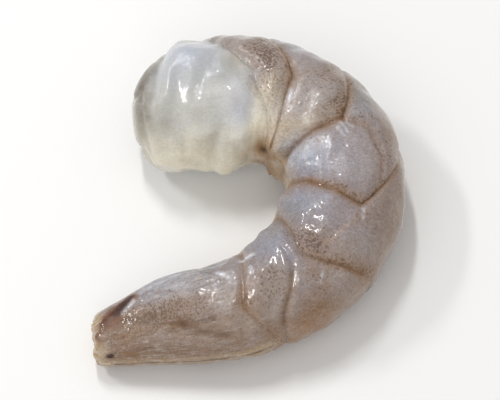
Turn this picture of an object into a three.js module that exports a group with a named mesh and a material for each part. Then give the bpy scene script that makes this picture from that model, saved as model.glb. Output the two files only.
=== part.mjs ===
// A raw peeled shrimp with its head, shell, legs and tail fan off, lying on its right side.
// It is one curled piece of meat: a bare stub from inside the head shell, then six ringed
// segments. Millimetres, +Z up. The curl lies flat, with its open side towards -X.
import * as THREE from "three";

// Driving dimensions
const BODY_LENGTH = 94.4; // along the middle of the body, from the cut end to the tail
const BODY_DEPTH = 22.2; // from back to belly, at its largest
const BODY_WIDTH = 17.6; // from flank to flank, at its largest

// Each part's share of the body's length, then at its rear edge the direction of the body
// (degrees from +X), and its depth and width as shares of the largest
const PARTS = [
  { name: "stub", share: 0.148, heading: 3.5, depth: 1.0, width: 1.0 },
  { name: "segment 1", share: 0.068, heading: -6, depth: 0.97, width: 0.96 },
  { name: "segment 2", share: 0.087, heading: -38, depth: 0.91, width: 0.91 },
  { name: "segment 3", share: 0.144, heading: -89, depth: 0.84, width: 0.86 },
  { name: "segment 4", share: 0.135, heading: -123, depth: 0.82, width: 0.81 },
  { name: "segment 5", share: 0.106, heading: -150, depth: 0.745, width: 0.71 },
  { name: "segment 6", share: 0.15, heading: -168, depth: 0.62, width: 0.55 },
  { name: "tail end", share: 0.162, heading: -174, depth: 0.37, width: 0.36 },
];
const CUT_END = { heading: 2, depth: 0.9, width: 0.92 };

// The creases between segments, as stations along the body in mm: on the back, at the corner
// that each makes on the flank, at that corner's angle from the back, and on the belly
const CREASES = [
  { back: 8.8, corner: 19.4, angle: 84, belly: 26.0, deep: 0.15 }, // the skin's front edge
  { back: 19.2, corner: 25.3, angle: 84, belly: 28.4, deep: 0.5 },
  { back: 27.0, corner: 35.0, angle: 82, belly: 35.9, deep: 0.55 },
  { back: 38.0, corner: 48.7, angle: 67, belly: 45.8, deep: 0.6 },
  { back: 55.3, corner: 59.8, angle: 86, belly: 55.8, deep: 0.55 },
  { back: 68.2, corner: 71.2, angle: 66, belly: 67.4, deep: 0.5 },
];
const CREASE_WIDTH = { before: 0.55, after: 1.2 }; // steep behind a segment, easy onto the next
const BELLY_ANGLE = 152; // where the flanks turn under to the belly
const PUFF = [0.2, 0.4, 0.6, 0.75, 0.7, 0.6, 0.3]; // swell of the stub and segments 1 to 6

// Soft lobes of the stub: station in mm, angle from the back (under 0 on the lower flank),
// size across the surface in mm, and height
const LOBES = [
  { s: 8.6, angle: 68, size: 3.6, height: 1.2 },
  { s: 15.8, angle: 108, size: 3.0, height: 1.1 },
  { s: 4.2, angle: 118, size: 3.0, height: 0.9 },
  { s: 10.4, angle: 146, size: 2.9, height: 1.0 },
  { s: 17.4, angle: 150, size: 2.4, height: 0.8 },
  { s: 14.6, angle: 180, size: 3.8, height: 1.4 },
  { s: 7.2, angle: 180, size: 3.2, height: 1.1 },
  { s: 4.0, angle: 12, size: 3.4, height: 0.6 },
  { s: 8.2, angle: -48, size: 3.8, height: 1.0 },
  { s: 12.5, angle: -112, size: 3.6, height: 1.0 },
  { s: 5.5, angle: -150, size: 3.0, height: 0.9 },
  { s: 13.6, angle: -164, size: 2.6, height: 0.9 },
];

// Blunt ends: how long the rounding is, and how square
const CUT_ROUNDING = { length: 5.5, square: 2.4 };
const TAIL_ROUNDING = { length: 3.0, square: 2.5 };
const CUT_SLANT = { back: 4.2, reach: 17 }; // the cut runs back by this much at the back
const TAIL_SOCKET = 1.1; // how far the torn end, where the fan came off, is hollow

const SINK = 0.985; // the soft flank flattens on the surface, to this share of its half width
const ROUND_TRIANGLES = 56; // facets round the body
// Rings in the cut end, stub, segments 1 to 6 and tail end
const RINGS = [8, 13, 9, 12, 17, 15, 13, 14, 5];

const stations = [0];
for (const part of PARTS) stations.push(stations.at(-1) + part.share * BODY_LENGTH);
const rows = [CUT_END, ...PARTS];

// A smooth curve through one column of the rows
function along(column, s) {
  const last = stations.length - 1;
  let i = 0;
  while (i < last - 1 && s > stations[i + 1]) i += 1;
  const slope = (k) => {
    const [a, b] = [Math.max(k - 1, 0), Math.min(k + 1, last)];
    return (rows[b][column] - rows[a][column]) / (stations[b] - stations[a]);
  };
  const h = stations[i + 1] - stations[i];
  const t = (s - stations[i]) / h;
  return (
    (2 * t ** 3 - 3 * t ** 2 + 1) * rows[i][column] +
    (t ** 3 - 2 * t ** 2 + t) * h * slope(i) +
    (3 * t ** 2 - 2 * t ** 3) * rows[i + 1][column] +
    (t ** 3 - t ** 2) * h * slope(i + 1)
  );
}

// The middle of the body, walked in short steps
const STEP = 0.05;
const middle = [new THREE.Vector2(0, 0)];
for (let s = 0; s < BODY_LENGTH; s += STEP) {
  const turn = THREE.MathUtils.degToRad(along("heading", s + STEP / 2));
  const stride = new THREE.Vector2(Math.cos(turn), Math.sin(turn)).multiplyScalar(STEP);
  middle.push(middle.at(-1).clone().add(stride));
}

function middleAt(s) {
  const k = THREE.MathUtils.clamp(s / STEP, 0, middle.length - 1.001);
  return middle[Math.floor(k)].clone().lerp(middle[Math.floor(k) + 1], k % 1);
}

const smooth = THREE.MathUtils.smoothstep;
const bump = (x, width) => Math.exp(-((x / width) ** 2));

// Station of crease number k at an angle from the back, the same on both flanks
function creaseAt(k, angle) {
  const { back, corner, angle: at, belly } = CREASES[k];
  if (angle < at) return back + (corner - back) * (angle / at) ** 1.45;
  const down = Math.min((angle - at) / (BELLY_ANGLE - at), 1);
  return corner + (belly - corner) * smooth(down, 0, 1);
}

// Front and rear edge of zone k at an angle: 0 is the cut end, 1 the stub, 2 to 7 the
// segments, 8 the tail end
function zoneEdges(k, angle) {
  const edge = (j) => {
    if (j === 0) return 0;
    if (j === 1) return CUT_ROUNDING.length;
    if (j < 8) return creaseAt(j - 2, angle);
    return j === 8 ? BODY_LENGTH - TAIL_ROUNDING.length : BODY_LENGTH;
  };
  return [edge(k), edge(k + 1)];
}

// How much a section shrinks in the rounding of either end: 1 in between, 0 at the tip
function endShrink(s) {
  const shrink = (inward, { length, square }) =>
    inward >= length ? 1 : Math.max(0, 1 - (1 - inward / length) ** square) ** (1 / square);
  return shrink(Math.max(s, 0), CUT_ROUNDING) * shrink(Math.max(BODY_LENGTH - s, 0), TAIL_ROUNDING);
}

// A point of the plain body, without its relief. turn is the angle round it from the back,
// in radians, and goes over the upper flank.
function plainPoint(s, turn) {
  const heading = THREE.MathUtils.degToRad(along("heading", s));
  const halfDepth = (along("depth", s) * BODY_DEPTH) / 2;
  const halfWidth = (along("width", s) * BODY_WIDTH) / 2;
  const shrink = endShrink(s);
  const c = Math.cos(turn);
  const outward = halfDepth * shrink * (c < 0 ? -(Math.abs(c) ** 0.88) : c);
  const upward = halfWidth * shrink * Math.sign(Math.sin(turn)) * Math.abs(Math.sin(turn)) ** 0.92;
  const slant = CUT_SLANT.back * Math.max(outward / halfDepth, 0) ** 1.5;
  const back = slant * (1 - smooth(s, 0, CUT_SLANT.reach));
  const hollow = TAIL_SOCKET * (1 - shrink) ** 2 * smooth(s, BODY_LENGTH / 2, BODY_LENGTH);
  const { x, y } = middleAt(s);
  return new THREE.Vector3(
    x - Math.sin(heading) * outward + Math.cos(heading) * (back - hollow),
    y + Math.cos(heading) * outward + Math.sin(heading) * (back - hollow),
    halfWidth * SINK + upward,
  );
}

// The plain body's outward direction at a point, and how stretched the meat is lengthwise
// there: over 1 on the back of the curl, under 1 inside it
function plainSurface(s, turn) {
  const heading = THREE.MathUtils.degToRad(along("heading", s));
  const forward = new THREE.Vector3(Math.cos(heading), Math.sin(heading), 0);
  if (s <= 0) return { normal: forward.negate(), stretch: 1 };
  if (s >= BODY_LENGTH) return { normal: forward, stretch: 1 };
  const [ds, dt] = [Math.min(0.02, s / 2, (BODY_LENGTH - s) / 2), 0.01];
  const round = plainPoint(s, turn + dt).sub(plainPoint(s, turn - dt));
  const lengthwise = plainPoint(s + ds, turn).sub(plainPoint(s - ds, turn));
  const stretch = THREE.MathUtils.clamp(lengthwise.length() / (2 * ds), 0.3, 1.6);
  return { normal: round.cross(lengthwise).normalize(), stretch };
}

// Uneven lumps all over, as crossed waves in the meat
function lumps({ x, y, z }) {
  return (
    0.2 * Math.sin(0.42 * x + 0.31 * z + 1.1) * Math.sin(0.47 * y - 0.22 * z + 0.4) +
    0.12 * Math.sin(0.83 * x - 0.64 * y + 0.5 * z + 2.3) * Math.sin(0.7 * x + 0.9 * z)
  );
}

// The lobes of the stub, at a signed angle from the back
function lobes(s, signedAngle) {
  let height = 0;
  for (const lobe of LOBES) {
    let apart = Math.abs(signedAngle - lobe.angle);
    apart = THREE.MathUtils.degToRad(Math.min(apart, 360 - apart)) * (BODY_DEPTH / 2);
    height += lobe.height * bump(Math.hypot(s - lobe.s, apart), lobe.size);
  }
  return height;
}

// Height of the relief over the plain body
function relief(zone, t, s, signedAngle, point, stretch) {
  const angle = Math.abs(signedAngle);
  const [front, rear] = zoneEdges(zone, angle);
  const flank = smooth(angle, 20, 75) * (1 - 0.4 * smooth(angle, 140, 170));
  const belly = smooth(angle, 146, 164);
  const bare = 1 - smooth(s, creaseAt(0, angle), creaseAt(0, angle) + 3);
  let height = (lobes(s, signedAngle) - 0.4) * bare + lumps(point);

  // Each segment swells between its creases, most on the flank
  if (zone > 0 && zone < 8) {
    const swell = 1 - Math.abs(2 * t - 1) ** 2.6;
    height += PUFF[zone - 1] * (0.35 + 0.65 * flank) * swell * (1 - 0.6 * belly);
  }
  // The creases, which turn into low bars across the belly
  for (const [k, { deep }] of CREASES.entries()) {
    const away = (s - creaseAt(k, angle)) * stretch;
    const width = away < 0 ? CREASE_WIDTH.before : CREASE_WIDTH.after;
    height -= deep * (1 - 1.4 * belly) * bump(away, width) * (0.5 + 0.5 * flank);
  }
  // A slanting fold parts the back from the flank in segments 2 to 4
  if (zone > 2 && zone < 6) {
    const fold = 78 - 36 * t;
    height -= 0.25 * bump(angle - fold, 8) * (1 - smooth(t, 0.55, 1));
  }
  // In segment 5 the plate of the back ends in a loose slanting edge
  if (zone === 6) {
    const edge = 67 - 7 * smooth(angle, 8, 100);
    height -= 0.4 * bump(s - edge, 0.8) * (1 - smooth(angle, 95, 115));
  }
  // The sixth segment is full along its belly and flatter along its back, and has a long
  // furrow between two muscles
  if (zone === 7) {
    const furrow = 44 + 46 * smooth(s, 72, 90);
    height += 1.6 * bump(s - 82, 7.5) * smooth(angle, 90, 150);
    height -= 0.7 * bump(s - 84, 7.5) * (1 - smooth(angle, 30, 75));
    height -= 0.5 * bump(angle - furrow, 10) * smooth(s, 70, 75) * (1 - smooth(s, 90, 93));
  }
  // A groove runs along the belly between low knobs, where the legs were
  height -= 0.7 * bump(angle - 180, 13) * smooth(s, 24, 30) * (1 - smooth(s, 66, 74));
  if (zone > 1 && zone < 7) {
    const away = Math.hypot((t - 0.5) * (rear - front) * stretch, (angle - 150) * 0.14);
    height += 0.45 * bump(away, 1.1);
  }
  return height;
}

// A point of the meat. The rings of one sphere become the rings of the meat.
function meatPoint(ring, turn) {
  let [zone, left] = [0, ring];
  while (left > RINGS[zone]) {
    left -= RINGS[zone];
    zone += 1;
  }
  const degrees = THREE.MathUtils.radToDeg(turn);
  const signedAngle = degrees > 180 ? degrees - 360 : degrees;
  const angle = Math.abs(signedAngle);
  // Rings crowd towards the creases, and towards the two tips
  const even = left / RINGS[zone];
  let t = even - 0.09 * Math.sin(2 * Math.PI * even);
  if (zone === 0) t = 1 - Math.cos((even * Math.PI) / 2) ** (2 / CUT_ROUNDING.square);
  if (zone === 8) t = Math.sin((even * Math.PI) / 2) ** (2 / TAIL_ROUNDING.square);
  const [front, rear] = zoneEdges(zone, angle);
  const s = THREE.MathUtils.clamp(front + t * (rear - front), 0, BODY_LENGTH);
  const point = plainPoint(s, turn);
  const { normal, stretch } = plainSurface(s, turn);
  const tip = smooth(BODY_LENGTH - s, 0, TAIL_ROUNDING.length);
  const fade = smooth(s, 0, CUT_ROUNDING.length / 3) * (zone === 8 ? tip : 1);
  point.addScaledVector(normal, relief(zone, t, s, signedAngle, point, stretch) * fade);
  // The underside lies flat
  point.z = Math.max(point.z, 0);
  return point;
}

function meatGeometry() {
  const rings = RINGS.reduce((a, b) => a + b);
  const geometry = new THREE.SphereGeometry(1, ROUND_TRIANGLES, rings);
  const { position, uv } = geometry.attributes;
  for (let i = 0; i < position.count; i += 1) {
    const ring = Math.round((1 - uv.getY(i)) * rings);
    const column = i % (ROUND_TRIANGLES + 1);
    const turn = 2 * Math.PI * (1 - column / ROUND_TRIANGLES);
    position.setXYZ(i, ...meatPoint(ring, turn).toArray());
  }
  return geometry;
}

// Puts the middle of the underside's box at the origin
function settled(geometry) {
  geometry.computeBoundingBox();
  const { min, max } = geometry.boundingBox;
  return geometry.translate(-(min.x + max.x) / 2, -(min.y + max.y) / 2, -min.z);
}

const rawMeat = new THREE.MeshStandardMaterial({ color: 0xb3a9a6, roughness: 0.28, metalness: 0 });

const shrimp = new THREE.Group();
const meat = new THREE.Mesh(settled(meatGeometry()), rawMeat);
meat.name = "shrimp_meat";
shrimp.add(meat);

export default shrimp;
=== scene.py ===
# %% [markdown]
# # A raw peeled shrimp
# The real thing is one curled piece of wet, half see-through meat: a pale stub that sat
# inside the head shell, then six ringed segments down to the torn tail end. This lesson
# loads the plain solid of the same shrimp, draws out a fine skin over the same form, paints
# it point by point, and lights it like a studio shot on white.

# %% Load the plain model
import math
import bmesh
import bpy
import numpy as np
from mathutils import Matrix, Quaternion, Vector, noise


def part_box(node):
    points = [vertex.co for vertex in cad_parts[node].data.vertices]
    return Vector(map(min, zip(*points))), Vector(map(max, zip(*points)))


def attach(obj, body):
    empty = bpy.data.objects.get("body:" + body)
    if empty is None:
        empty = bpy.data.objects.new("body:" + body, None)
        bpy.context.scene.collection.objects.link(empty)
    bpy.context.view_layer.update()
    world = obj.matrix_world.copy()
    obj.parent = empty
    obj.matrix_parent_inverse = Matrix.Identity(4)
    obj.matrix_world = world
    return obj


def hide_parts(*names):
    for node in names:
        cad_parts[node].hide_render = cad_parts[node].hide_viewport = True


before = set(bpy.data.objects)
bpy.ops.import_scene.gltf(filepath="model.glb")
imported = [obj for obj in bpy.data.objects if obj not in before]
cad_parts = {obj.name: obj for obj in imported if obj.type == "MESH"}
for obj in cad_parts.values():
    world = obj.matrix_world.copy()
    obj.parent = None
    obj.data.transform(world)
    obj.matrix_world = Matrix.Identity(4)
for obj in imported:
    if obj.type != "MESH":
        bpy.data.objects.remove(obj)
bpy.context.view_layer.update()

MM = 0.001
low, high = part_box("shrimp_meat")
print("plain model from", [round(v / MM, 1) for v in low], "to", [round(v / MM, 1) for v in high])

# %% [markdown]
# ## Camera
# The photograph looks down at the shrimp's flank from the tail's side. A long lens from well
# back keeps its shape as the photograph shows it, where a short one close by would swell the
# near end. The lens follows from how wide a strip of the table should fill the picture.

# %% Camera
ELEVATION = math.radians(58)
CAMERA_AWAY = 0.42
VIEW_WIDTH = 0.078
SENSOR_WIDTH = 36  # mm
AIM = Vector((0.0, -0.001, 0.0075))


def make_camera():
    data = bpy.data.cameras.new("camera")
    data.sensor_width = SENSOR_WIDTH
    data.lens = SENSOR_WIDTH * CAMERA_AWAY / VIEW_WIDTH
    camera = bpy.data.objects.new("camera", data)
    bpy.context.scene.collection.objects.link(camera)
    back = Vector((0, -math.cos(ELEVATION), math.sin(ELEVATION)))
    camera.location = AIM + back * CAMERA_AWAY
    camera.rotation_euler = (-back).to_track_quat("-Z", "Y").to_euler()
    data.clip_start, data.clip_end = 0.01, 10
    bpy.context.scene.camera = camera
    return camera


camera = make_camera()
print("lens", round(camera.data.lens), "mm from", CAMERA_AWAY, "m")

# %% [markdown]
# ## Table and light
# The photograph is shot on a white sweep, with light from the upper left and white all round.
# On wet meat each lamp shows as a glint. Small round lamps would give hard dots, and one huge
# lamp no sparkle at all. So two tall, narrow windows of light are rolled to stand upright in
# the picture, which gives short upright glints, and a wide lamp in front and the white
# surround give the soft light between them.

# %% The table
def make_floor():
    bm = bmesh.new()
    bmesh.ops.create_grid(bm, x_segments=1, y_segments=1, size=3.0)
    mesh = bpy.data.meshes.new("table")
    bm.to_mesh(mesh)
    bm.free()
    floor = bpy.data.objects.new("table", mesh)
    bpy.context.scene.collection.objects.link(floor)
    material = bpy.data.materials.new("white table")
    material.use_nodes = True
    shader = material.node_tree.nodes["Principled BSDF"]
    shader.inputs["Base Color"].default_value = (0.95, 0.95, 0.945, 1)
    shader.inputs["Roughness"].default_value = 0.6
    mesh.materials.append(material)
    return floor


floor = make_floor()
print(floor.name, "of", len(floor.data.polygons), "face")


# %% The lamps
def lamp(name, place, size, watts, roll=0):
    """A rectangle of light at a place in metres, aimed at the shrimp and rolled by degrees"""
    data = bpy.data.lights.new(name, "AREA")
    data.shape = "RECTANGLE"
    data.size, data.size_y = size
    data.energy = watts
    light = bpy.data.objects.new(name, data)
    light.location = place
    aimed = (AIM - Vector(place)).to_track_quat("-Z", "Y")
    light.rotation_euler = (aimed @ Quaternion((0, 0, 1), math.radians(roll))).to_euler()
    bpy.context.scene.collection.objects.link(light)
    return light


lamp("high window", (-0.11, 0.28, 0.55), (0.042, 0.2), 1.15, -22)
lamp("side window", (-0.41, 0.18, 0.44), (0.038, 0.17), 0.85, -69)
lamp("front", (-0.25, -0.60, 0.50), (0.9, 0.6), 1.7)

# %% The white room
SURROUND = 0.485  # how strongly the white room shines
world = bpy.data.worlds.new("white room")
world.use_nodes = True
world.node_tree.nodes["Background"].inputs["Color"].default_value = (1.0, 0.985, 0.965, 1)
world.node_tree.nodes["Background"].inputs["Strength"].default_value = SURROUND
bpy.context.scene.world = world
bpy.context.scene.view_settings.view_transform = "Standard"
print("room at strength", SURROUND)

# %% [markdown]
# ## The curled form
# The body is a long tube that bends: a middle line that turns as it runs from the cut end to
# the tail, with a rounded section that gets slimmer. It could be sculpted by hand, but a few
# sizes at each joint, joined by smooth curves, say the same and are easy to change.

# %% Sizes of the body
BODY_LENGTH = 94.4  # mm along the middle
BODY_DEPTH = 22.2  # back to belly at its largest
BODY_WIDTH = 17.6  # flank to flank at its largest
# At the cut end, then at the rear of each part: its share of the length, the body's
# direction in degrees, and its depth and width as shares of the largest
PARTS = [
    ("cut end", 0.0, 2, 0.9, 0.92),
    ("stub", 0.148, 3.5, 1.0, 1.0),
    ("segment 1", 0.068, -6, 0.97, 0.96),
    ("segment 2", 0.087, -38, 0.91, 0.91),
    ("segment 3", 0.144, -89, 0.84, 0.86),
    ("segment 4", 0.135, -123, 0.82, 0.81),
    ("segment 5", 0.106, -150, 0.745, 0.71),
    ("segment 6", 0.15, -168, 0.62, 0.55),
    ("tail end", 0.162, -174, 0.37, 0.36),
]
CUT_LENGTH, CUT_SQUARE = 5.5, 2.4  # how long the rounding of an end is, and how square
TAIL_LENGTH, TAIL_SQUARE = 3.0, 2.5
CUT_SLANT, SLANT_REACH = 4.2, 17.0  # the cut runs back by this much at the back
TAIL_SOCKET = 1.6  # mm that the torn end is hollow
BELLY_FULL, FLANK_FULL = 0.88, 0.92  # powers under 1 make the section fuller than an oval
SINK = 0.985  # how high the middle lies, as a share of half the width: the meat sags
stations = np.cumsum([part[1] for part in PARTS]) * BODY_LENGTH
headings, depths, widths = (np.array([part[k] for part in PARTS], float) for k in (2, 3, 4))
print(len(PARTS) - 1, "parts, ending at", stations[1:].round(1), "mm")

# %% [markdown]
# Between those few sizes the body has to change without a kink. A curve that takes its slope
# at each joint from the values on both sides does so, and still passes through every value.
# Two more helpers, a soft step and a soft bump, shape nearly all of the relief and the paint.


# %% Smooth curves
def smooth(x, start, end):
    """A soft step, from 0 at the start to 1 at the end"""
    t = np.clip((x - start) / (end - start), 0, 1)
    return t * t * (3 - 2 * t)


def bump(x, width):
    """A soft bump: 1 in the middle, falling off over its width"""
    return np.exp(-((x / width) ** 2))


def along(values, s):
    """A smooth curve through the values at the stations"""
    last = len(stations) - 1
    i = np.clip(np.searchsorted(stations, s) - 1, 0, last - 1)
    before, after = np.maximum(np.arange(last + 1) - 1, 0), np.minimum(np.arange(last + 1) + 1, last)
    slope = (values[after] - values[before]) / (stations[after] - stations[before])
    h = stations[i + 1] - stations[i]
    t = (s - stations[i]) / h
    start = (2 * t**3 - 3 * t**2 + 1) * values[i] + (t**3 - 2 * t**2 + t) * h * slope[i]
    return start + (3 * t**2 - 2 * t**3) * values[i + 1] + (t**3 - t**2) * h * slope[i + 1]


# %% [markdown]
# The middle line is walked in tiny steps, each in the direction that the body has there. Its
# points could be traced by hand, but then its length would be an accident. Walked like this,
# the length is given, and so is the angle of each joint.

# %% The middle line
STEP = 0.05  # mm from point to point
WALK = np.arange(0, BODY_LENGTH + STEP, STEP)
course = np.radians(along(headings, WALK + STEP / 2))
middle_x = np.concatenate([[0], np.cumsum(np.cos(course))[:-1]]) * STEP
middle_y = np.concatenate([[0], np.cumsum(np.sin(course))[:-1]]) * STEP
print("body", BODY_LENGTH, "mm long, turning", headings[0] - headings[-1], "degrees")

# %% [markdown]
# Across the middle line the section is a rounded oval, a little fuller than a true one. Both
# ends are rounded off, because cut meat has no sharp rim. One function gives any point of the
# body, so it can be drawn as finely as needed, and its outward directions can be measured.

# %% The plain surface
def end_shrink(s):
    """How much a section shrinks in the rounding of either end"""
    front = np.clip(1 - np.clip(1 - s / CUT_LENGTH, 0, 1) ** CUT_SQUARE, 0, 1) ** (1 / CUT_SQUARE)
    inward = np.clip(1 - (BODY_LENGTH - s) / TAIL_LENGTH, 0, 1)
    return front * np.clip(1 - inward**TAIL_SQUARE, 0, 1) ** (1 / TAIL_SQUARE)


def plain_point(s, turn):
    """Points of the body without relief, in mm. turn goes round from the back, in radians."""
    heading = np.radians(along(headings, s))
    half_depth = along(depths, s) * BODY_DEPTH / 2
    half_width = along(widths, s) * BODY_WIDTH / 2
    shrink = end_shrink(s)
    c, up = np.cos(turn), np.sin(turn)
    outward = half_depth * shrink * np.where(c < 0, -(np.abs(c) ** BELLY_FULL), c)
    upward = half_width * shrink * np.sign(up) * np.abs(up) ** FLANK_FULL
    back = CUT_SLANT * np.maximum(outward / half_depth, 0) ** 1.5 * (1 - smooth(s, 0, SLANT_REACH))
    back = back - TAIL_SOCKET * (1 - shrink) ** 2 * smooth(s, BODY_LENGTH / 2, BODY_LENGTH)
    x = np.interp(s, WALK, middle_x) - np.sin(heading) * outward + np.cos(heading) * back
    y = np.interp(s, WALK, middle_y) + np.cos(heading) * outward + np.sin(heading) * back
    return np.stack([x, y, half_width * SINK + upward], axis=-1)


def plain_surface(s, turn):
    """Outward directions, and how stretched the meat is lengthwise: under 1 inside the curl"""
    around = plain_point(s, turn + 0.01) - plain_point(s, turn - 0.01)
    step = np.minimum(0.02, np.minimum(s, BODY_LENGTH - s) / 2 + 1e-6)
    lengthwise = plain_point(s + step, turn) - plain_point(s - step, turn)
    stretch = np.clip(np.linalg.norm(lengthwise, axis=1) / (2 * step), 0.3, 1.6)
    normal = np.cross(around, lengthwise)
    size = np.linalg.norm(normal, axis=1, keepdims=True)
    heading = np.radians(along(headings, s))
    forward = np.stack([np.cos(heading), np.sin(heading), 0 * heading], axis=-1)
    ends = (s <= 0.001) | (s >= BODY_LENGTH - 0.001)
    sign = np.where(s < BODY_LENGTH / 2, -1, 1)[:, None]
    normal = np.where(ends[:, None] | (size < 1e-12), forward * sign, normal / np.maximum(size, 1e-12))
    return normal, np.where(ends, 1, stretch)


# %% [markdown]
# ## Relief
# What makes it a shrimp is its relief: each segment swells between two creases that slant
# over the flank and meet the belly, the stub is a cluster of soft lobes, and the belly has a
# groove with scars where the legs were. It could be sculpted by hand. Here all of it is a
# height over the plain surface, so it can be added up, changed by number, and painted along
# the same lines later.

# %% Where the creases run
# Stations in mm of each crease on the back, at its corner on the flank, that corner's angle
# from the back, its station on the belly, and its depth
CREASES = [
    (8.8, 19.4, 84, 26.0, 0.15),
    (19.2, 25.3, 84, 28.4, 0.26),
    (27.0, 35.0, 82, 35.9, 0.28),
    (38.0, 48.7, 67, 45.8, 0.28),
    (55.3, 59.8, 86, 55.8, 0.3),
    (68.2, 71.2, 66, 67.4, 0.26),
]
BELLY_ANGLE = 152  # degrees from the back, where the creases meet the belly
PUFF = [0.2, 0.4, 0.6, 0.75, 0.7, 0.6, 0.3]  # swell of the stub and segments 1 to 6


def crease_at(k, angle):
    """Station of crease number k at an angle from the back"""
    back, corner, at, belly, _ = CREASES[k]
    upper = back + (corner - back) * (np.minimum(angle, at) / at) ** 1.45
    lower = corner + (belly - corner) * smooth(angle, at, BELLY_ANGLE)
    return np.where(angle < at, upper, lower)


def flap_at(angle):
    """Station of the edge of segment 5's flap"""
    return 67 - 5.5 * smooth(angle, 30, 105)


print("creases on the back at", [crease[0] for crease in CREASES], "mm")

# %% [markdown]
# The stub's lobes are round rises, each at a chosen place. Folds and low ridges follow lines,
# drawn through a few places on the skin. The grooves between the bundles of muscle are too
# many to place by hand, so a pattern of rounded cells gives them.

# %% Lobes, folds and bundles
# Lobes of the stub: station, angle from the back, size across the surface, height
LOBES = [
    (8.6, 68, 3.6, 1.2),
    (15.8, 108, 3.0, 1.1),
    (9.5, 121, 1.9, 0.4),
    (4.2, 118, 3.0, 0.9),
    (10.4, 146, 2.9, 1.0),
    (17.4, 150, 2.4, 0.8),
    (14.6, 180, 3.8, 1.4),
    (7.2, 180, 3.2, 1.1),
    (4.0, 12, 3.4, 0.6),
    (8.2, -48, 3.8, 1.0),
    (12.5, -112, 3.6, 1.0),
    (5.5, -150, 3.0, 0.9),
    (13.6, -164, 2.6, 0.9),
]
# Folds (under 0) and ridges: their path of stations and angles, width and height in mm
FOLDS = [
    ([(6.0, 22), (6.2, 60), (5.6, 105)], 1.4, 0.5),
    ([(3.2, 30), (3.4, 80), (2.9, 125)], 1.2, -0.6),
    ([(19.6, 96), (19.8, 130), (20.5, 160)], 1.4, -0.16),
    ([(9.6, 90), (9.2, 127)], 1.4, 0.15),
    ([(12.6, 150), (12.4, 178)], 0.9, -0.45),
    ([(7.6, 128), (8.0, 165)], 0.8, -0.15),
    ([(4.6, 140), (4.4, 175)], 0.8, -0.15),
    ([(35.3, 80), (37.5, 64), (41.5, 54), (46.3, 57)], 0.7, -0.3),
    ([(49, 66), (53, 75), (57.5, 84)], 0.7, -0.16),
    ([(50.4, 98), (51.6, 102)], 2.2, 0.3),
    ([(55.6, 96), (56.2, 116)], 0.7, -0.15),
    ([(74, 104), (80, 112), (88, 118)], 0.9, -0.14),
    ([(72, 117), (77, 119)], 2.4, 0.45),
    ([(59.8, 122), (61.5, 96)], 0.4, 0.12),
    ([(50.2, 69), (51.4, 71)], 0.8, 0.22),
    ([(63.4, 66), (64.6, 64)], 0.8, 0.2),
    ([(67.2, 96), (67.2, 104)], 0.6, 0.16),
    ([(66.4, 112), (66.4, 124)], 0.6, 0.16),
]


def fbm(points, size, octaves=3, seed=0.0):
    """Smooth noise between about -1 and 1, for points in mm and bumps of about size mm"""
    shift = Vector((seed, seed * 1.7, seed * 0.6))
    return np.array([noise.fractal(Vector(p) / size + shift, 1.0, 2.0, octaves) for p in points])


def stroke(path, width, s, angle, stretch):
    """1 on a line through places of station and angle, falling off over its width in mm"""
    radius = along(depths, s) * BODY_DEPTH / 2
    nearest = np.full_like(s, 99.0)
    for (s0, a0), (s1, a1) in zip(path, path[1:]):
        x, y = (s - s0) * stretch, np.radians(angle - a0) * radius
        dx, dy = (s1 - s0) * stretch, np.radians(a1 - a0) * radius
        t = np.clip((x * dx + y * dy) / (dx * dx + dy * dy + 1e-9), 0, 1)
        nearest = np.minimum(nearest, np.hypot(x - t * dx, y - t * dy))
    return bump(nearest, width)


def bundles(points, size):
    """1 in the grooves between rounded bundles of about size mm, 0 on them"""
    near, next_near = np.array([noise.voronoi(Vector(p) / size)[0][:2] for p in points]).T
    return bump(next_near - near, 0.2)


def lobes(s, signed):
    """Height of the stub's lobes"""
    height = np.zeros_like(s)
    for station, angle, size, high in LOBES:
        apart = np.abs(signed - angle)
        apart = np.radians(np.minimum(apart, 360 - apart)) * BODY_DEPTH / 2
        height += high * bump(np.hypot(s - station, apart), size)
    return height


print(len(LOBES), "lobes,", len(FOLDS), "folds and ridges")

# %% [markdown]
# Now the heights are added up. Each segment gets its swell and the knob of its leg, and each
# crease is cut in steeply at the edge that overlaps and softly behind it. The lobes, a few
# slow waves, the flap, the tail's furrow and the belly's groove complete the form.

# %% Add the relief up
SWELL_SQUARE = 2.6  # how flat-topped each swell is
FOLDED = (2, 3, 4)  # the segments with a slanting fold


def segment_swells(s, angle, edges, flank, belly, stretch):
    """The swell between each two creases, with its slanting fold and the knob of its leg"""
    height = np.zeros_like(s)
    for k, puff in enumerate(PUFF):
        front, rear = edges[k], edges[k + 1]
        t = (s - front) / (rear - front)
        inside = (t > 0) & (t < 1)
        swell = np.where(inside, 1 - np.abs(2 * np.clip(t, 0, 1) - 1) ** SWELL_SQUARE, 0)
        height += puff * (0.35 + 0.65 * flank) * swell * (1 - 0.6 * belly)
        if k in FOLDED:
            fold = 78 - 36 * t
            height -= np.where(inside, 0.16 * bump(angle - fold, 8) * (1 - smooth(t, 0.55, 1)), 0)
        if 0 < k < 6:
            away = np.hypot((t - 0.5) * (rear - front) * stretch, (angle - 150) * 0.14)
            height += np.where(inside, 0.45 * bump(away, 1.1), 0)
    return height


def crease_cuts(s, angle, lines, flank, belly, stretch):
    """The creases. Segment 1's rear one is lost low on the flank, in a low ridge."""
    height = np.zeros_like(s)
    for k, line in enumerate(lines):
        away = (s - line) * stretch
        width = np.where(away < 0, 0.28, 0.8)
        lost = 0.85 * smooth(angle, 98, 122) if k == 1 else 0
        deep = CREASES[k][4]
        height -= deep * (1 - lost) * (1 - 1.4 * belly) * bump(away, width) * (0.5 + 0.5 * flank)
        height += 0.4 * lost * bump(away, 1.0)
    return height


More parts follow.
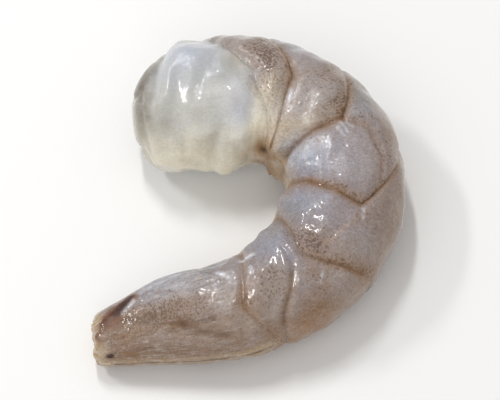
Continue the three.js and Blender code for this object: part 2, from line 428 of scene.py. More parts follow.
def tail_form(s, angle, six):
    """Segment 6 is full below and flatter above, with a furrow that slants down its flank"""
    furrow = 44 + 46 * smooth(s, 72, 90)
    height = 1.6 * bump(s - 82, 7.5) * smooth(angle, 90, 150) * six
    height -= 0.7 * bump(s - 84, 7.5) * (1 - smooth(angle, 30, 75)) * six
    height -= 0.16 * bump(angle - furrow, 15) * smooth(s, 70, 75) * (1 - smooth(s, 90, 93)) * six
    return height


def relief(s, signed, point, stretch):
    """Height over the plain surface, in mm"""
    angle = np.abs(signed)
    lines = [crease_at(k, angle) for k in range(len(CREASES))]
    edges = [np.full_like(s, CUT_LENGTH), *lines, np.full_like(s, BODY_LENGTH - TAIL_LENGTH)]
    flank = smooth(angle, 20, 75) * (1 - 0.4 * smooth(angle, 140, 170))
    belly = smooth(angle, 146, 164)
    bare = 1 - smooth(s, lines[0], lines[0] + 3)
    x, y, z = point.T
    # Lobes on the bare stub, then slow waves that the tail hardly has
    height = (lobes(s, signed) - 0.4) * bare
    waves = 0.2 * np.sin(0.42 * x + 0.31 * z + 1.1) * np.sin(0.47 * y - 0.22 * z + 0.4)
    waves += 0.12 * np.sin(0.83 * x - 0.64 * y + 0.5 * z + 2.3) * np.sin(0.7 * x + 0.9 * z)
    height += waves * (1 - 0.8 * smooth(s, 73, 79))
    height += segment_swells(s, angle, edges, flank, belly, stretch)
    height += crease_cuts(s, angle, lines, flank, belly, stretch)
    # The edge of segment 5's flap
    five = (s > lines[4]) & (s < lines[5])
    height -= np.where(five, 0.4 * bump(s - flap_at(angle), 0.6) * (1 - smooth(angle, 95, 115)), 0)
    height += tail_form(s, angle, smooth(s, lines[5], lines[5] + 1.5))
    # The groove of the belly
    height -= 0.7 * bump(angle - 180, 13) * smooth(s, 24, 30) * (1 - smooth(s, 66, 74))
    for path, width, up in FOLDS:
        height += up * stroke(path, width, s, angle, stretch)
    return height


print("deepest crease", max(crease[4] for crease in CREASES), "mm")

# %% [markdown]
# ## The fine skin
# A sphere already has rings from pole to pole, so it is pulled out like a stocking: ring by
# ring its points go to the matching place on the body. That keeps one closed skin with no
# seam. The rings are a quarter of a millimetre apart, fine enough for real creases.

# %% Draw the sphere out into the body
AROUND, RINGS = 256, 380
CUT_RINGS, TAIL_RINGS = 24, 14


def station_of(ring):
    """Where each ring sits along the body: crowded at the two tips, even between"""
    cut = 1 - np.cos(np.clip(ring / CUT_RINGS, 0, 1) * np.pi / 2) ** (2 / CUT_SQUARE)
    left = np.clip((RINGS - ring) / TAIL_RINGS, 0, 1)
    tail = 1 - np.cos(left * np.pi / 2) ** (2 / TAIL_SQUARE)
    share = (ring - CUT_RINGS) / (RINGS - CUT_RINGS - TAIL_RINGS)
    even = CUT_LENGTH + share * (BODY_LENGTH - CUT_LENGTH - TAIL_LENGTH)
    s = np.where(ring < CUT_RINGS, CUT_LENGTH * cut, even)
    return np.where(ring > RINGS - TAIL_RINGS, BODY_LENGTH - TAIL_LENGTH * tail, s)


def drawn_sphere():
    bm = bmesh.new()
    bmesh.ops.create_uvsphere(bm, u_segments=AROUND, v_segments=RINGS, radius=1)
    mesh = bpy.data.meshes.new("shrimp")
    bm.to_mesh(mesh)
    bm.free()
    return mesh


mesh = drawn_sphere()
count = len(mesh.vertices)
unit = np.empty(count * 3)
mesh.vertices.foreach_get("co", unit)
unit = unit.reshape(-1, 3)
ring = np.round(np.arccos(np.clip(unit[:, 2], -1, 1)) / np.pi * RINGS)
s = station_of(ring)
turn = np.arctan2(unit[:, 1], unit[:, 0])
turn[(ring == 0) | (ring == RINGS)] = 0
signed = np.degrees(turn)
angle = np.abs(signed)
plain = plain_point(s, turn)
normal, stretch = plain_surface(s, turn)
radius = along(depths, s) * BODY_DEPTH / 2
round_x, round_z = radius * np.cos(turn), radius * np.sin(turn)
print(count, "points in", RINGS, "rings")

# %% [markdown]
# Wet meat is never quite smooth. Its skin has small wrinkles, longer round the body than along
# it, and the bare stub is rougher and grooved between its bundles of muscle. Noise at a few
# sizes gives the wrinkles. It fades out at the tips, where the rings close up.

# %% Wrinkles and grooves
WRINKLE_STRETCH = 2.5  # how much longer they are round the body
STUB_REACH = 24  # mm, past the end of the bare stub everywhere
fade = smooth(s, 0, CUT_LENGTH / 3) * smooth(BODY_LENGTH - s, 0, TAIL_LENGTH)
wrinkles = np.stack([s, round_x / WRINKLE_STRETCH, round_z / WRINKLE_STRETCH], axis=-1)
skin_edge = crease_at(0, angle)
bare = 1 - smooth(s, skin_edge - 1, skin_edge + 1)
rough = 0.12 * fbm(plain, 3.6, 2, 4.0) + 0.05 * (1 + bare) * fbm(wrinkles, 1.8, 2, 9.0)
rough += 0.015 * (1 + 1.5 * bare) * fbm(plain, 0.8, 2, 17.0)
rough *= 1 - 0.8 * smooth(s, 73, 79)
# One lobe of the stub is stretched smooth, so the light runs down it in a streak
taut = bump(np.hypot((s - 8.6) / 2.6, np.radians(angle - 111) * radius / 3.8), 1)
rough *= 1 - 0.85 * taut
stub = s < STUB_REACH
grooves = np.zeros(count)
grooves[stub] = bundles(plain[stub] + fbm(plain[stub], 5, 2, 83.0)[:, None], 6.5)
grooves *= (1 - smooth(s, skin_edge, skin_edge + 2)) * (1 - 0.8 * smooth(s, 1, 6))
height = (relief(s, signed, plain, stretch) + rough) * fade - 0.35 * grooves
skin = plain + normal * height[:, None]
print("relief from", height.min().round(2), "to", height.max().round(2), "mm")

# %% [markdown]
# The tail end was torn off, so its rim is ragged and shreds of meat fill its socket. They are
# noise that pushes the points along the body. The underside spreads where it lies: pressing it
# level over a short height does that, where cutting it flat would leave a sharp edge.

# %% Torn end and underside
REST = 0.25  # mm of height over which the underside rounds into the flat
facing = np.radians(along(headings, s))
forward = np.stack([np.cos(facing), np.sin(facing), 0 * facing], axis=-1)
shreds = 0.55 * fbm(plain, 1.5, 4, 71.0) * smooth(s, BODY_LENGTH - 4.0, BODY_LENGTH - 0.8)
skin += forward * shreds[:, None]
skin[:, 2] = (skin[:, 2] + np.sqrt(skin[:, 2] ** 2 + REST**2)) / 2
skin[:, 2] -= skin[:, 2].min()

# %% [markdown]
# The fine skin has to lie where the plain model does, because other parts are placed against
# that. So all its points are moved until the middles of both boxes agree. The object could be
# moved instead, but with its place in the mesh it stays at the origin.

# %% Set it where the plain model lies
span_low, span_high = skin.min(0), skin.max(0)
cad_middle = (np.array(low) + np.array(high)) / 2 / MM
shift = cad_middle - (span_low + span_high) / 2
shift[2] = low[2] / MM
skin += shift
mesh.vertices.foreach_set("co", (skin * MM).ravel())
bm = bmesh.new()
bm.from_mesh(mesh)
bmesh.ops.recalc_face_normals(bm, faces=bm.faces)
bm.to_mesh(mesh)
bm.free()
mesh.shade_smooth()
shrimp = bpy.data.objects.new("shrimp", mesh)
bpy.context.scene.collection.objects.link(shrimp)
print("box", np.round(span_high - span_low, 1), "mm, shifted", np.round(shift, 2))

# %% [markdown]
# ## Colours of the meat
# Raw shrimp is grey-blue and half see-through, warmer and browner towards the back, creamy
# at the stub, with ochre lines in the creases. One noise texture can't say where each of
# these is, so every point of the skin gets a colour of its own: a base, soft patches laid
# over it by place, and lines along the creases.

# %% A palette, and two ways to place paint
def linear(red, green, blue):
    """A screen colour of 0 to 255 as linear light"""
    value = np.array([red, green, blue]) / 255
    return np.where(value <= 0.04045, value / 12.92, ((value + 0.055) / 1.055) ** 2.4)


SCREEN_COLOURS = {
    "blue white": (186, 193, 207),
    "milk": (199, 198, 192),
    "cream": (234, 227, 206),
    "sand": (204, 188, 158),
    "clear tan": (104, 95, 80),
    "pale ochre": (196, 168, 124),
    "ochre": (156, 111, 58),
    "lilac white": (222, 224, 232),
    "lilac": (146, 149, 165),
    "mauve": (176, 166, 165),
    "grey mauve": (158, 149, 153),
    "grey": (154, 142, 134),
    "blue grey": (162, 170, 186),
    "green grey": (112, 113, 107),
    "brown mauve": (152, 130, 118),
    "brown grey": (160, 141, 128),
    "brown": (146, 111, 78),
    "dark brown": (95, 67, 46),
    "rust": (138, 84, 54),
    "black brown": (64, 32, 14),
}
PALETTE = {name: linear(*colour) for name, colour in SCREEN_COLOURS.items()}

# Noise pushes the paint about, so that no patch ends in a clean oval
push = fbm(plain, 3.4, 3, 13.0)
warped_s = s + 0.9 * push
warped_angle = angle + 7 * fbm(plain, 3.0, 3, 31.0)
shrink = end_shrink(s)


def near(station, at, length, width):
    """1 at a place on the body, falling off over a length and a width in mm"""
    across = np.radians(warped_angle - at) * radius * shrink
    return np.exp(-(((warped_s - station) * stretch / length) ** 2) - (across / width) ** 2)


def lay(colours, name, amount):
    """Lays a colour of the palette over the points by an amount from 0 to 1"""
    amount = np.clip(amount, 0, 1)[:, None]
    return colours * (1 - amount) + PALETTE[name] * amount


print(len(PALETTE), "colours")

# %% Paint the patches
# Each patch: colour, station, angle from the back, reach along and around in mm, strength
PATCHES = [
    # Stub
    # Partly the clear meat's tan, partly painted shade: the thin cut end is darkened as if a dark
    # ground showed through it
    ("clear tan", 0.8, 92, 4.4, 17, 1.0),
    ("blue white", 9, 76, 6.5, 7, 1.0),
    ("milk", 10, 125, 9, 9, 0.85),
    ("cream", 10, 174, 15, 5.5, 0.95),
    ("clear tan", 12.5, 34, 3, 2.5, 0.6),
    ("sand", 16.5, 80, 1.5, 1.8, 0.4),
    ("cream", 22.8, 135, 2.4, 5, 0.9),
    ("lilac white", 18.0, 119, 2.8, 4.6, 0.85),
    ("green grey", 15, 90, 2.5, 3, 0.25),
    # Segment 1
    ("mauve", 18, 42, 2.2, 4, 0.5),
    ("blue grey", 22, 40, 1.6, 4, 0.8),
    ("brown grey", 21.6, 68, 3, 4.5, 0.75),
    ("mauve", 21.2, 80, 2.2, 3.0, 0.55),
    ("sand", 22.8, 104, 2, 3.5, 0.7),
    ("cream", 23.5, 135, 2.6, 5, 0.9),
    # Partly the pale meat's own colour, partly painted light: these two creams lighten the low flank
    # against the shade of its lobes and crease
    ("cream", 22.6, 152, 3.4, 4, 0.8),
    ("cream", 27, 142, 3, 4, 0.8),
    ("pale ochre", 27, 148, 3, 3, 0.4),
    ("ochre", 22.8, 173, 2.8, 2.6, 0.55),
    ("brown", 28.6, 166, 2.6, 2.2, 0.6),
    # Segment 2
    ("blue grey", 24.2, 46, 1.5, 4.5, 0.75),
    ("mauve", 24.8, 68, 1.6, 3.5, 0.7),
    ("grey mauve", 26, 42, 2.8, 5, 0.9),
    ("brown grey", 29.5, 66, 3.2, 3.5, 0.7),
    ("lilac white", 29.5, 100, 3.5, 4.5, 0.35),
    ("mauve", 30, 102, 4.5, 5.5, 0.8),
    ("pale ochre", 32, 143, 3.2, 4, 0.6),
    # Painted light: lighter on segment 2's rear, against the shade of its slope
    ("sand", 33.2, 120, 1.6, 6.5, 0.7),
    ("mauve", 33.4, 62, 1.4, 3, 0.5),
    # Segment 3
    ("green grey", 32.3, 40, 2.4, 8, 0.6),
    ("blue grey", 35.0, 58, 2.4, 4.5, 0.5),
    ("brown", 38, 24, 5, 3.5, 1.0),
    ("brown grey", 40.5, 50, 3.0, 3, 0.6),
    ("grey mauve", 37.5, 66, 2.4, 3.5, 0.5),
    ("brown", 43, 46, 4, 3, 0.7),
    ("grey mauve", 42, 78, 6, 7.5, 1.0),
    ("mauve", 42, 92, 4, 4.5, 0.4),
    ("mauve", 41.2, 68, 3, 3.2, 0.7),
    ("lilac", 42.5, 122, 4.5, 5.5, 0.9),
    ("mauve", 45, 92, 2.2, 4, 0.6),
    ("blue grey", 39, 138, 3.5, 3, 0.6),
    # Painted highlight: lighter where segment 3's crinkled film glints
    ("lilac white", 39.0, 119, 2.2, 3.2, 0.45),
    ("pale ochre", 45, 160, 3, 3, 0.6),
    # Segment 4
    ("lilac", 51, 108, 5, 6, 1.1),
    ("blue grey", 50.5, 100, 2.6, 3.2, 0.9),
    ("grey mauve", 51.5, 74, 4.5, 5, 1.0),
    ("brown mauve", 49, 35, 5, 6, 0.6),
    ("brown mauve", 47.8, 124, 1.6, 5.5, 0.6),
    ("mauve", 55, 40, 3.0, 6, 0.7),
    ("brown", 56, 12, 2.4, 5, 0.7),
    ("green grey", 56.5, 130, 3, 3, 0.6),
    ("brown mauve", 57.6, 88, 1.8, 4.8, 0.75),
    # Segment 5
    ("mauve", 60.8, 40, 4.4, 6, 1.0),
    ("brown", 62.6, 16, 3.8, 5.0, 1.3),
    ("ochre", 64.5, 10, 3.0, 5, 0.4),
    ("lilac", 63, 110, 4.4, 7, 1.0),
    ("grey mauve", 63.4, 76, 2.2, 3.2, 0.6),
    ("brown", 60.6, 66, 1.8, 4, 0.45),
    ("grey", 66, 80, 2.6, 3.5, 0.8),
    # Segment 6 and the tail end
    ("brown mauve", 69.2, 94, 1.5, 7, 0.6),
    ("lilac white", 74.5, 96, 3.2, 4.2, 0.35),
    ("mauve", 82.5, 115, 3.5, 3.5, 0.5),
    ("lilac", 81, 132, 9, 4.5, 1.0),
    ("grey mauve", 76, 120, 6, 4.5, 0.8),
    ("green grey", 76.5, 124, 4.5, 3.2, 0.4),
    ("lilac white", 79.4, 108, 4.2, 3.6, 0.55),
    ("brown grey", 79, 45, 12, 6, 1.0),
    ("brown", 80, 42, 9, 5, 0.35),
    ("brown", 82, 92, 7, 1.6, 0.8),
    ("brown", 88.5, 46, 3.5, 6, 0.9),
    ("brown", 90.2, 70, 2.0, 7, 0.7),
    ("dark brown", 90.5, 112, 1.6, 2.6, 0.8),
]
lines = [crease_at(k, angle) for k in range(len(CREASES))]
skinned = smooth(s + 1.2 * push, lines[0] - 1.5, lines[0] + 1.5)
colours = np.tile(PALETTE["milk"], (count, 1))
colours = lay(colours, "sand", 0.35 * grooves)
colours = lay(colours, "grey", skinned)
for colour, station, at, length, width, strength in PATCHES:
    colours = lay(colours, colour, strength * near(station, at, length, width))
print(len(PATCHES), "patches")

# %% [markdown]
# The skin of each segment ends at the crease in an ochre line, dark where two edges meet. Its
# ochre and dark core are partly the skin's own colour and partly painted shade of the crease.
# The margin in front of it is browner. Between the segments' belly edges the meat is thin,
# and the light makes it yellow. The lines follow the same creases as the relief does.

# %% Paint the creases
# For each crease: how dark its line is at angles from the back, and its brown margin's
# width in mm and strength
CREASE_PAINT = [
    ([(0, 0), (180, 0)], 0.1, 0),
    ([(25, 0.2), (50, 0.6), (75, 1.0), (98, 0.6), (118, 0.25), (130, 0.1), (155, 0.4)], 1.2, 0.7),
    ([(10, 0.9), (30, 1.2), (70, 1.3), (84, 1.2), (105, 0.6), (118, 0.4), (150, 0.5)], 1.8, 0.85),
    ([(0, 0.4), (30, 0.8), (67, 1.2), (115, 0.9), (130, 0.5), (160, 0.4)], 0.8, 0.3),
    ([(0, 1.2), (22, 1.3), (40, 0.8), (62, 1.1), (80, 0.6), (100, 0.3), (140, 0.5)], 2.0, 0.4),
    (
        [(0, 1.0), (15, 0.9), (35, 0.3), (64, 0.4), (72, 1.2), (86, 1.2), (98, 0.2), (140, 0.4)],
        1.2,
        0.4,
    ),
]
ragged = fbm(plain, 1.3, 3, 61.0)
peppered = np.zeros(count)
for line, (stops, band, strength) in zip(lines, CREASE_PAINT):
    darkness = np.interp(angle, [a for a, _ in stops], [d for _, d in stops])
    darkness = darkness * np.clip(0.95 + 0.45 * ragged, 0.4, 1.2)
    away = (s - line) * stretch + 0.12 * ragged
    margin = smooth(away + 0.5 * push, -2 * band, 0) * (away < 0.2) * (1 - smooth(angle, 80, 112))
    colours = lay(colours, "brown", strength * margin * (0.8 + 0.5 * ragged))
    # Partly pigment, partly painted shade: the line is laid stronger and darker to stand for the
    # crease's shade
    colours = lay(colours, "brown", 0.5 * darkness * bump(away, 1.1))
    colours = lay(colours, "ochre", 0.95 * darkness * bump(away, 0.52))
    colours = lay(colours, "dark brown", 0.65 * darkness * bump(away, 0.28))
    sprinkled = 0.75 * darkness * bump(away + 0.4, 1.3) * (1 - smooth(angle, 95, 125))
    peppered = np.maximum(peppered, sprinkled)

flap = (s - flap_at(angle)) * stretch + 0.3 * ragged
flap_fades = 1 - smooth(angle, 72, 94)
flap_edge = bump(flap, 0.8) * flap_fades
colours = lay(colours, "brown", 0.75 * flap_edge * (0.9 + 0.6 * ragged))
colours = lay(colours, "dark brown", 0.6 * bump(flap, 0.3) * flap_fades)
peppered = np.maximum(peppered, 0.6 * flap_edge)
print(len(CREASE_PAINT), "creases and the flap")

# %% [markdown]
# The marks that follow no crease are strokes through a few places: brown streaks in the tail's
# furrow and along the back, a dark thread in a pale one on the tail's back, ochre along the
# belly, and short pale strokes that are painted highlights, glints of the wet film. Noise
# bends them, so that none looks ruled.

# %% Paint the streaks
# Each streak: colour, its path of stations and angles, width in mm, strength
STREAKS = [
    ("brown", [(73.5, 38), (76, 48), (78.5, 60), (81, 74), (84.5, 86), (90, 102)], 1.3, 0.85),
    ("dark brown", [(74.5, 42), (78.2, 57), (80.5, 70)], 0.7, 0.65),
    ("dark brown", [(76, 68), (80, 74), (84, 80), (88, 92)], 0.45, 0.5),
    ("brown", [(35.3, 80), (37.5, 64), (41.5, 54), (46.3, 57)], 0.7, 0.6),
    ("brown", [(70.5, 62), (71.5, 78)], 0.35, 0.6),
    ("dark brown", [(84, 90), (90, 100)], 0.5, 0.6),
    ("brown", [(40, 26), (47, 18), (54, 12), (66, 10), (75, 14), (90, 16)], 2.4, 0.6),
    ("pale ochre", [(69, 0), (80, 0), (92, 0)], 1.2, 0.75),
    ("dark brown", [(69, 0), (80, 0), (91, 0)], 0.4, 0.9),
    # The lilac white strokes are painted highlights: glints of the wet film on segments 2 to 6, and a
    # rim of light along the tail's belly edge
    ("lilac white", [(71, 133), (78, 137), (86, 134)], 0.35, 0.6),
    ("lilac white", [(26.3, 97), (27.0, 108)], 0.32, 0.85),
    ("lilac white", [(35.8, 86), (37.8, 83)], 0.26, 0.7),
    ("lilac white", [(36.6, 91), (38.3, 88)], 0.26, 0.65),
    ("lilac white", [(35.9, 80), (37.1, 77)], 0.22, 0.6),
    ("lilac white", [(49.3, 65), (50.7, 60.5)], 0.24, 0.85),
    ("lilac white", [(59.9, 61), (61.0, 55)], 0.24, 0.8),
    ("lilac white", [(67.9, 95), (67.7, 106)], 0.27, 0.95),
    ("lilac white", [(66.3, 119), (68.7, 128)], 0.36, 0.9),
    ("lilac white", [(71.7, 109), (73.1, 119)], 0.38, 0.9),
    ("ochre", [(50, 60), (53, 72), (57, 80)], 0.5, 0.35),
    ("pale ochre", [(24, 162), (40, 166), (56, 166), (68, 164)], 1.5, 0.6),
    ("ochre", [(27, 166), (35, 165)], 1.3, 0.6),
]
for colour, path, width, strength in STREAKS:
    painted = stroke(path, width, s + 0.25 * push, angle + 2 * push, stretch)
    colours = lay(colours, colour, strength * painted * (0.9 + 0.5 * ragged))
print(len(STREAKS), "streaks")

# %% [markdown]
# The torn end is the darkest and most uneven place: an ochre rim, a dark rip at its belly
# corner with rust round it, a painted highlight of wet film beside the rip, and a dot of
# black near the back. Ragged strokes give these. The dark spot where segment 1's edge ends
# at the belly, with ochre round it, is painted shade.


# %% Paint the torn end and the notch
def ragged_stroke(path, width, fray, sway):
    """A stroke frayed by so many mm along the body and swayed by so many degrees round it"""
    return stroke(path, width, s + fray * ragged, angle + sway * push, stretch)


# Painted shade: a dark spot with ochre round it, where segment 1's edge ends at the belly
notch_shade = np.hypot((s - 25.6) * stretch, np.radians(angle - 164) * 9)
colours = lay(colours, "ochre", 0.8 * bump(notch_shade, 1.7) * (1 + 0.5 * ragged))
colours = lay(colours, "black brown", 0.95 * bump(notch_shade, 0.7))
rim = smooth(s + 0.7 * ragged, 91.2, 93.4)
colours = lay(colours, "pale ochre", 0.75 * rim)
rip = ragged_stroke([(87.4, 134), (89.4, 119), (91.9, 104)], 0.7, 0.4, 5)
colours = lay(colours, "rust", 1.5 * rip**0.5)
colours = lay(colours, "black brown", (2.0 + ragged) * rip**1.5)
# A painted highlight: the glint of wet film beside the rip
painted_glint = ragged_stroke([(86.9, 125), (88.9, 111)], 0.32, 0.3, 3)
colours = lay(colours, "lilac white", 0.85 * painted_glint)
frayed = ragged_stroke([(90.8, 106), (92.6, 92), (92.8, 76)], 0.8, 0.5, 5)
colours = lay(colours, "rust", 0.8 * frayed)
colours = lay(colours, "dark brown", 0.6 * frayed**3)
dot = np.hypot(s - 91.6, np.radians(angle - 30) * 4.5)
colours = lay(colours, "black brown", 2.5 * bump(dot, 0.45))
# The whole tail is a little darker
colours *= 1 - 0.12 * smooth(s, 70, 76)[:, None]
colours = np.clip(colours, 0.01, 0.95)
print("darkest", colours.min(0).round(3), "palest", colours.max(0).round(3))

# %% [markdown]
# The back and the margins are peppered with brown specks, and in places the wet film is
# crinkled and breaks the glints up. Both are too fine for the skin's points, so only where
# they are dense is stored, and the material draws them.

# %% Where the specks and crinkles are
# For both: station, angle, reach along and around in mm, amount
SPECKS = [
    (20.8, 66, 4.0, 7.5, 1.0),
    (16.5, 48, 3, 4, 0.6),
    (23.6, 94, 2, 4.5, 0.7),
    (29.0, 66, 4, 5.5, 0.65),
    (30.3, 48, 2, 5, 0.8),
    (33, 76, 2.2, 3.5, 0.9),
    (36, 64, 2, 4, 0.6),
    (37, 108, 1.8, 6, 0.4),
    (41, 40, 6, 5, 0.7),
    (50, 60, 3.5, 4, 0.6),
    (52, 38, 5, 6, 0.4),
    (55.5, 84, 3, 5, 0.5),
    (58.2, 90, 2.6, 6, 0.9),
    (56, 40, 3, 8, 0.35),
    (61.5, 60, 3, 4, 0.6),
    (62, 38, 4, 8, 0.4),
    (66, 82, 4, 6, 0.75),
    (72, 74, 3, 5, 0.5),
    (77, 90, 4, 3, 0.7),
    (83, 93, 6, 2.6, 0.95),
    (88, 80, 4, 5, 0.6),
    (81, 50, 9, 5, 0.4),
    (91, 55, 2.4, 7, 0.6),
]
CRINKLES = [
    (2.5, 138, 2.5, 4, 1.2),
    (6, 134, 3, 4, 0.9),
    (8, 70, 2.8, 3.2, 1.4),
    (11, 96, 1.6, 2.2, 1.2),
    (14, 150, 8, 8, 0.5),
    (20, 60, 4, 7, 1.6),
    (22.5, 95, 2, 5, 1.2),
    (29.5, 100, 4, 6, 1.3),
    (25.6, 98, 1, 5, 0.8),
    (36, 76, 1.4, 2.8, 1.6),
    (37.5, 122, 2.5, 4, 1.2),
    (41, 136, 3, 3.5, 1.0),
    (43, 96, 3, 4, 1.5),
    (50, 112, 4, 6, 0.8),
    (56, 114, 2.5, 5, 0.6),
    (61, 102, 2.5, 6, 0.7),
    (67.5, 108, 2, 6, 1.0),
    (73, 98, 3, 6, 1.8),
    (80, 96, 5, 5, 0.5),
    (87.5, 112, 2, 4, 1.2),
]


def density(places, base):
    """The densest of the places at each point, on a thin base all over"""
    dense = np.full(count, base)
    for station, at, length, width, amount in places:
        dense = np.maximum(dense, amount * near(station, at, length, width))
    return dense


specks = np.maximum(density(SPECKS, 0.06), peppered) * skinned
crinkles = density(CRINKLES, 0.2)


def store(name, kind, values):
    """Keeps a number, a vector or a colour for every point of the skin"""
    attribute = mesh.attributes.new(name, kind, "POINT")
    field = {"FLOAT": "value", "FLOAT_VECTOR": "vector", "FLOAT_COLOR": "color"}[kind]
    attribute.data.foreach_set(field, np.asarray(values, dtype=np.float32).ravel())


store("tint", "FLOAT_COLOR", np.concatenate([colours, np.ones((count, 1))], axis=1))
store("specks", "FLOAT", specks)
store("crinkles", "FLOAT", crinkles)
# The body as if it lay straight, in mm: along it, and two ways across
store("straight", "FLOAT_VECTOR", np.stack([s, round_x, round_z], axis=-1))
print("mean density of specks", round(float(specks.mean()), 3))

# %% [markdown]
# ## The wet, half see-through meat
# Light goes into raw shrimp a few millimetres and comes out again, so the shader scatters
# light under the surface. A thin clear coat on top is the water that covers it. Mottling,
# fibres and specks are finer than the painted points, so textures add them: noise for the
# mottling, the same noise drawn out along the body for fibres, and cells for round specks.

# %% Small helpers for the material
def node(tree, kind, inputs=None, **settings):
    """A node with its settings, and its inputs given as plain values or as other outputs"""
    made = tree.nodes.new(kind)
    for name, value in settings.items():
        setattr(made, name, value)
    for name, value in (inputs or {}).items():
        if isinstance(value, bpy.types.NodeSocket):
            tree.links.new(value, made.inputs[name])
        else:
            made.inputs[name].default_value = value
    return made


def remap(tree, value, start, end, low=0.0, high=1.0):
    """Turns start..end smoothly into low..high"""
    inputs = {"Value": value, "From Min": start, "From Max": end, "To Min": low, "To Max": high}
    return node(tree, "ShaderNodeMapRange", inputs, interpolation_type="SMOOTHSTEP").outputs["Result"]


def maths(tree, operation, first, second, third=0.0):
    """The result of one sum, done at every point of the surface"""
    return node(tree, "ShaderNodeMath", {0: first, 1: second, 2: third}, operation=operation).outputs[0]


def blend(tree, kind, amount, first, second):
    """Two colours blended by an amount from 0 to 1"""
    inputs = {"Factor": amount, 6: first, 7: second}
    return node(tree, "ShaderNodeMix", inputs, data_type="RGBA", blend_type=kind).outputs[2]


def stored(tree, name, output="Fac"):
    """What was stored for every point of the skin"""
    return node(tree, "ShaderNodeAttribute", attribute_name=name).outputs[output]


def cloud(tree, where, scale, detail=3.0, roughness=0.6):
    """Cloudy noise between 0 and 1, in lumps of about one mm divided by the scale"""
    inputs = {"Vector": where, "Scale": scale, "Detail": detail, "Roughness": roughness}
    return node(tree, "ShaderNodeTexNoise", inputs).outputs["Fac"]


def scaled(tree, vector, factors):
    """A vector with its numbers multiplied, which draws a pattern out or presses it together"""
    return node(tree, "ShaderNodeVectorMath", {0: vector, 1: factors}, operation="MULTIPLY").outputs[0]


# %% [markdown]
# Raw meat is mottled, and its muscle fibres show as faint lines along the body. Both are finer
# than the skin's points, so noise is laid over the paint in thin glazes. For the fibres its
# space is drawn out along the straightened body, most of all on the tail, where they show best.

# %% Mottling and fibres
# Screen colours of the fine finish over the paint
FINISH = {
    "warm mottling": (142, 112, 84),
    "cool mottling": (196, 198, 205),
    "faint fibre": (200, 196, 194),
    "pale thread": (206, 202, 198),
    "dark thread": (106, 82, 63),
    "specked skin": (160, 140, 124),
    "round speck": (104, 76, 56),
    "dash": (92, 67, 49),
}


def tone(name):
    """A colour of the finish, as a node takes it"""
    return (*linear(*FINISH[name]), 1)


def glaze(tree, under, amount, name, pale):
    """Lays a thin even colour over what is there, sparing what is painted dark"""
    return blend(tree, "MIX", maths(tree, "MULTIPLY", amount, pale), under, tone(name))


def mottled(tree, colour, place, straight, skinned, pale):
    """Mottling all over, faint fibres, and long drawn-out threads on the tail"""
    warm = remap(tree, cloud(tree, place, 0.9, 4.0), 0.45, 0.75, 0.0, 0.4)
    colour = glaze(tree, colour, maths(tree, "MULTIPLY", warm, skinned), "warm mottling", pale)
    cool = remap(tree, cloud(tree, place, 0.8, 4.0), 0.5, 0.8, 0.0, 0.25)
    colour = glaze(tree, colour, cool, "cool mottling", pale)
    rear = node(tree, "ShaderNodeSeparateXYZ", {"Vector": straight}).outputs["X"]
    fibres = cloud(tree, scaled(tree, straight, (0.35, 1.0, 1.0)), 1.6, 3.0)
    fibres = remap(tree, fibres, 0.48, 0.75, 0.0, 0.35)
    fibres = maths(tree, "MULTIPLY", fibres, remap(tree, rear, 66.0, 76.0, 0.35, 1.0))
    colour = glaze(tree, colour, fibres, "faint fibre", pale)
    threads = cloud(tree, scaled(tree, straight, (0.11, 1.0, 1.0)), 2.3, 3.0, 0.6)
    on_tail = remap(tree, rear, 68.0, 78.0, 0.1, 1.0)
    bright = maths(tree, "MULTIPLY", remap(tree, threads, 0.54, 0.72, 0.0, 0.45), on_tail)
    dark = maths(tree, "MULTIPLY", remap(tree, threads, 0.45, 0.3, 0.0, 0.6), on_tail)
    colour = glaze(tree, colour, bright, "pale thread", pale)
    return glaze(tree, colour, dark, "dark thread", pale)


# %% [markdown]
# The specks are spots of pigment in the skin, some round, some drawn into short dashes. Cells
# give each round dot a size and a lot of its own, and it is kept only where its lot is under
# the stored density. The dashes are noise cut off high, a little lower where the skin is dense.


# %% Specks
def specked(tree, colour, place, straight, pale):
    """Short dashes and round dots, closer and darker where the skin is dense with them"""
    dense = stored(tree, "specks")
    pressed = scaled(tree, straight, (1.0, 0.65, 0.65))
    dashes = maths(tree, "MULTIPLY_ADD", dense, 0.3, cloud(tree, pressed, 3.4, 3.0, 0.55))
    strength = remap(tree, dense, 0.0, 1.0, 0.4, 0.72)
    dashes = maths(tree, "MULTIPLY", remap(tree, dashes, 0.68, 0.86), strength)
    dots = node(tree, "ShaderNodeTexVoronoi", {"Vector": place, "Scale": 1.8})
    lots = node(tree, "ShaderNodeSeparateColor", {"Color": dots.outputs["Color"]})
    kept = remap(tree, maths(tree, "SUBTRACT", dense, lots.outputs["Red"]), 0.0, 0.4)
    size = maths(tree, "MULTIPLY_ADD", lots.outputs["Green"], 0.2, 0.16)
    inside = maths(tree, "SUBTRACT", size, dots.outputs["Distance"])
    round_dots = maths(tree, "MULTIPLY", remap(tree, inside, -0.14, 0.12, 0.0, 0.6), kept)
    colour = glaze(tree, colour, maths(tree, "MULTIPLY", dense, 0.35), "specked skin", pale)
    colour = blend(tree, "MIX", round_dots, colour, tone("round speck"))
    return blend(tree, "MIX", dashes, colour, tone("dash"))


# %% [markdown]
# The meat is a little grainy, and the water on it lies smooth over that. So the grain's bump
# goes to the meat itself, and only the crinkles of the film go to the clear coat. With one
# bump for both, the glints would look sandy.


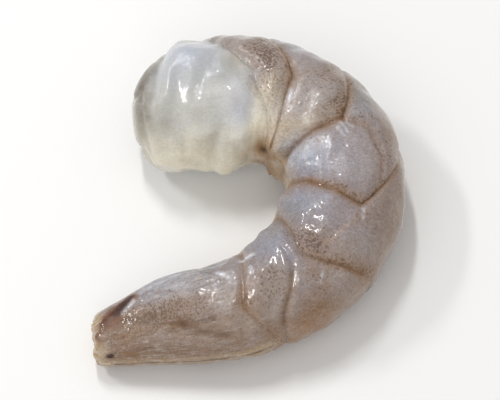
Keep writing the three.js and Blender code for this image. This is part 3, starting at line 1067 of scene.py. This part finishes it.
# %% Grain and wet film
def wet(tree, shader, place, grain):
    """A soft grain on the meat, and over it a film of water that is crinkled in places"""
    link = tree.links.new
    link(remap(tree, cloud(tree, place, 0.8), 0.35, 0.65, 0.28, 0.46), shader.inputs["Roughness"])
    soft = node(tree, "ShaderNodeBump", {"Strength": 0.5, "Distance": 0.00006, "Height": grain})
    link(soft.outputs["Normal"], shader.inputs["Normal"])
    film = maths(tree, "MULTIPLY", cloud(tree, place, 1.7, 1.0, 0.5), stored(tree, "crinkles"))
    film = node(tree, "ShaderNodeBump", {"Strength": 1.0, "Distance": 0.00013, "Height": film})
    link(film.outputs["Normal"], shader.inputs["Coat Normal"])


# %% [markdown]
# The shader puts it together. What is the same all over is set as a plain number. Only colour,
# scattering, roughness and the two bumps change over the skin, so only they are linked.

# %% The meat's material
CONSTANTS = {
    "Subsurface Radius": (1.0, 0.8, 0.62),
    "Subsurface Scale": 0.002,
    "IOR": 1.38,
    "Coat Weight": 0.9,
    "Coat Roughness": 0.06,
    "Coat IOR": 1.36,
}


def meat_material():
    material = bpy.data.materials.new("raw shrimp meat")
    material.use_nodes = True
    tree = material.node_tree
    shader = tree.nodes["Principled BSDF"]
    place = node(tree, "ShaderNodeTexCoord").outputs["Object"]
    place = node(tree, "ShaderNodeVectorMath", {0: place, "Scale": 1000}, operation="SCALE").outputs[0]
    straight = stored(tree, "straight", "Vector")
    pale = remap(tree, stored(tree, "tint"), 0.04, 0.2)
    skinned = remap(tree, stored(tree, "specks"), 0.0, 0.05)
    grain = cloud(tree, place, 2.6, 4.0, 0.75)

    colour = mottled(tree, stored(tree, "tint", "Color"), place, straight, skinned, pale)
    grainy = blend(tree, "MULTIPLY", 1.0, colour, remap(tree, grain, 0.3, 0.7, 0.77, 1.19))
    colour = blend(tree, "MIX", maths(tree, "MULTIPLY_ADD", skinned, 0.6, 0.4), colour, grainy)
    colour = specked(tree, colour, place, straight, pale)
    tree.links.new(colour, shader.inputs["Base Color"])
    # What is painted dark lets less light in
    scatter = remap(tree, stored(tree, "tint"), 0.05, 0.14, 0.1, 0.6)
    tree.links.new(scatter, shader.inputs["Subsurface Weight"])
    wet(tree, shader, place, grain)
    for name, value in CONSTANTS.items():
        shader.inputs[name].default_value = value
    return material


# %% Put it in the plain model's place
mesh.materials.append(meat_material())
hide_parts("shrimp_meat")
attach(shrimp, "root")
print("triangles", sum(len(p.vertices) - 2 for p in mesh.polygons))
